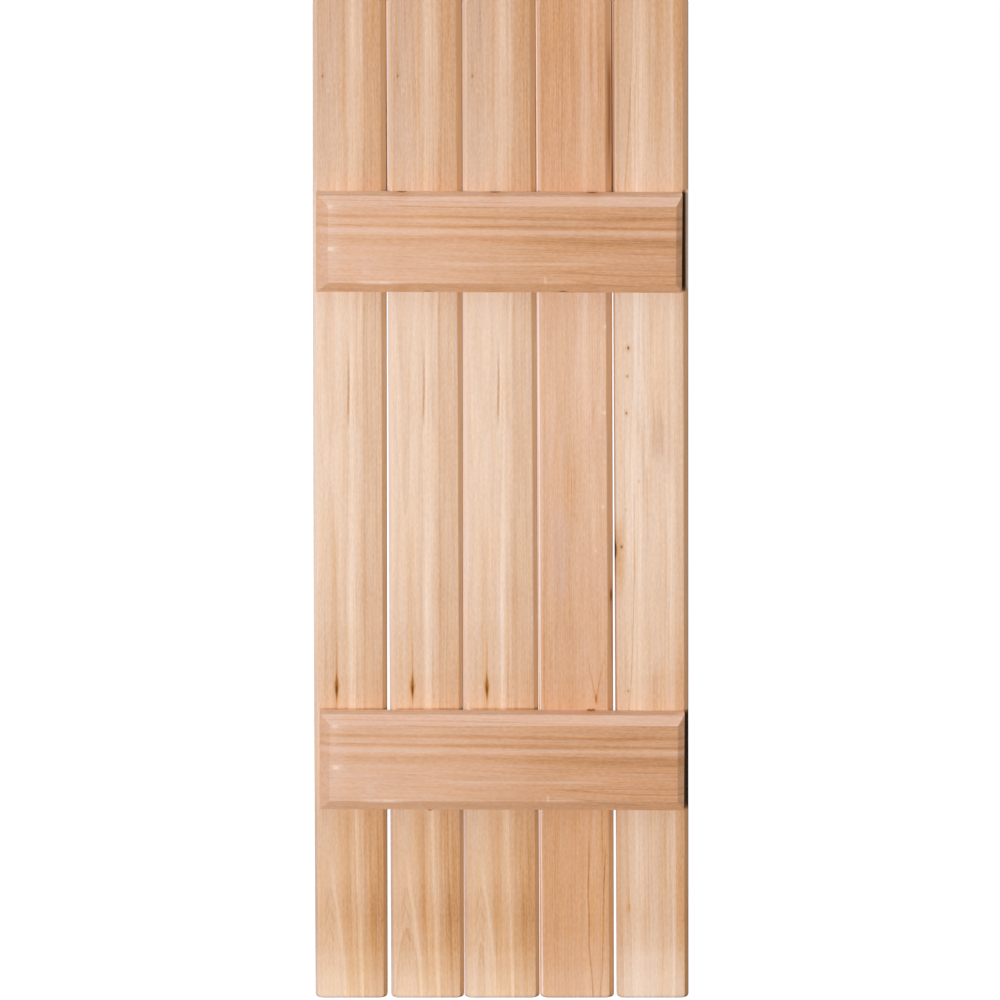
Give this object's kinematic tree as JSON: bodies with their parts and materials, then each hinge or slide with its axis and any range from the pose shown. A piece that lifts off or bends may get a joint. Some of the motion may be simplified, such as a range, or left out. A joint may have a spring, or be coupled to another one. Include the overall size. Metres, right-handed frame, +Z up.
{
  "type": "board and batten shutter",
  "caption": "Fixed exterior window shutter: upright chamfered cedar boards with narrow tapering gaps, held together by bevelled cross battens on the front.",
  "frame": {"origin": "middle of the back face, half way up, on the back of the middle board", "axes": "+Z up along the boards, +Y towards the wall behind, -Y out of the front, +X to the right seen from the front"},
  "size_m": [0.4512, 0.0508, 1.2192],
  "materials": {
    "board_cedar": "unfinished planed cedar, matte",
    "red_board_cedar": "unfinished planed cedar heartwood, matte",
    "batten_cedar": "unfinished planed cedar, matte",
    "screw_steel": "zinc-plated screws"
  },
  "bodies": {
    "root": {"left_board": "board_cedar", "left_middle_board": "board_cedar", "middle_board": "board_cedar", "right_middle_board": "red_board_cedar", "right_board": "board_cedar", "upper_batten": "batten_cedar", "lower_batten": "batten_cedar"}
  },
  "joints": []
}
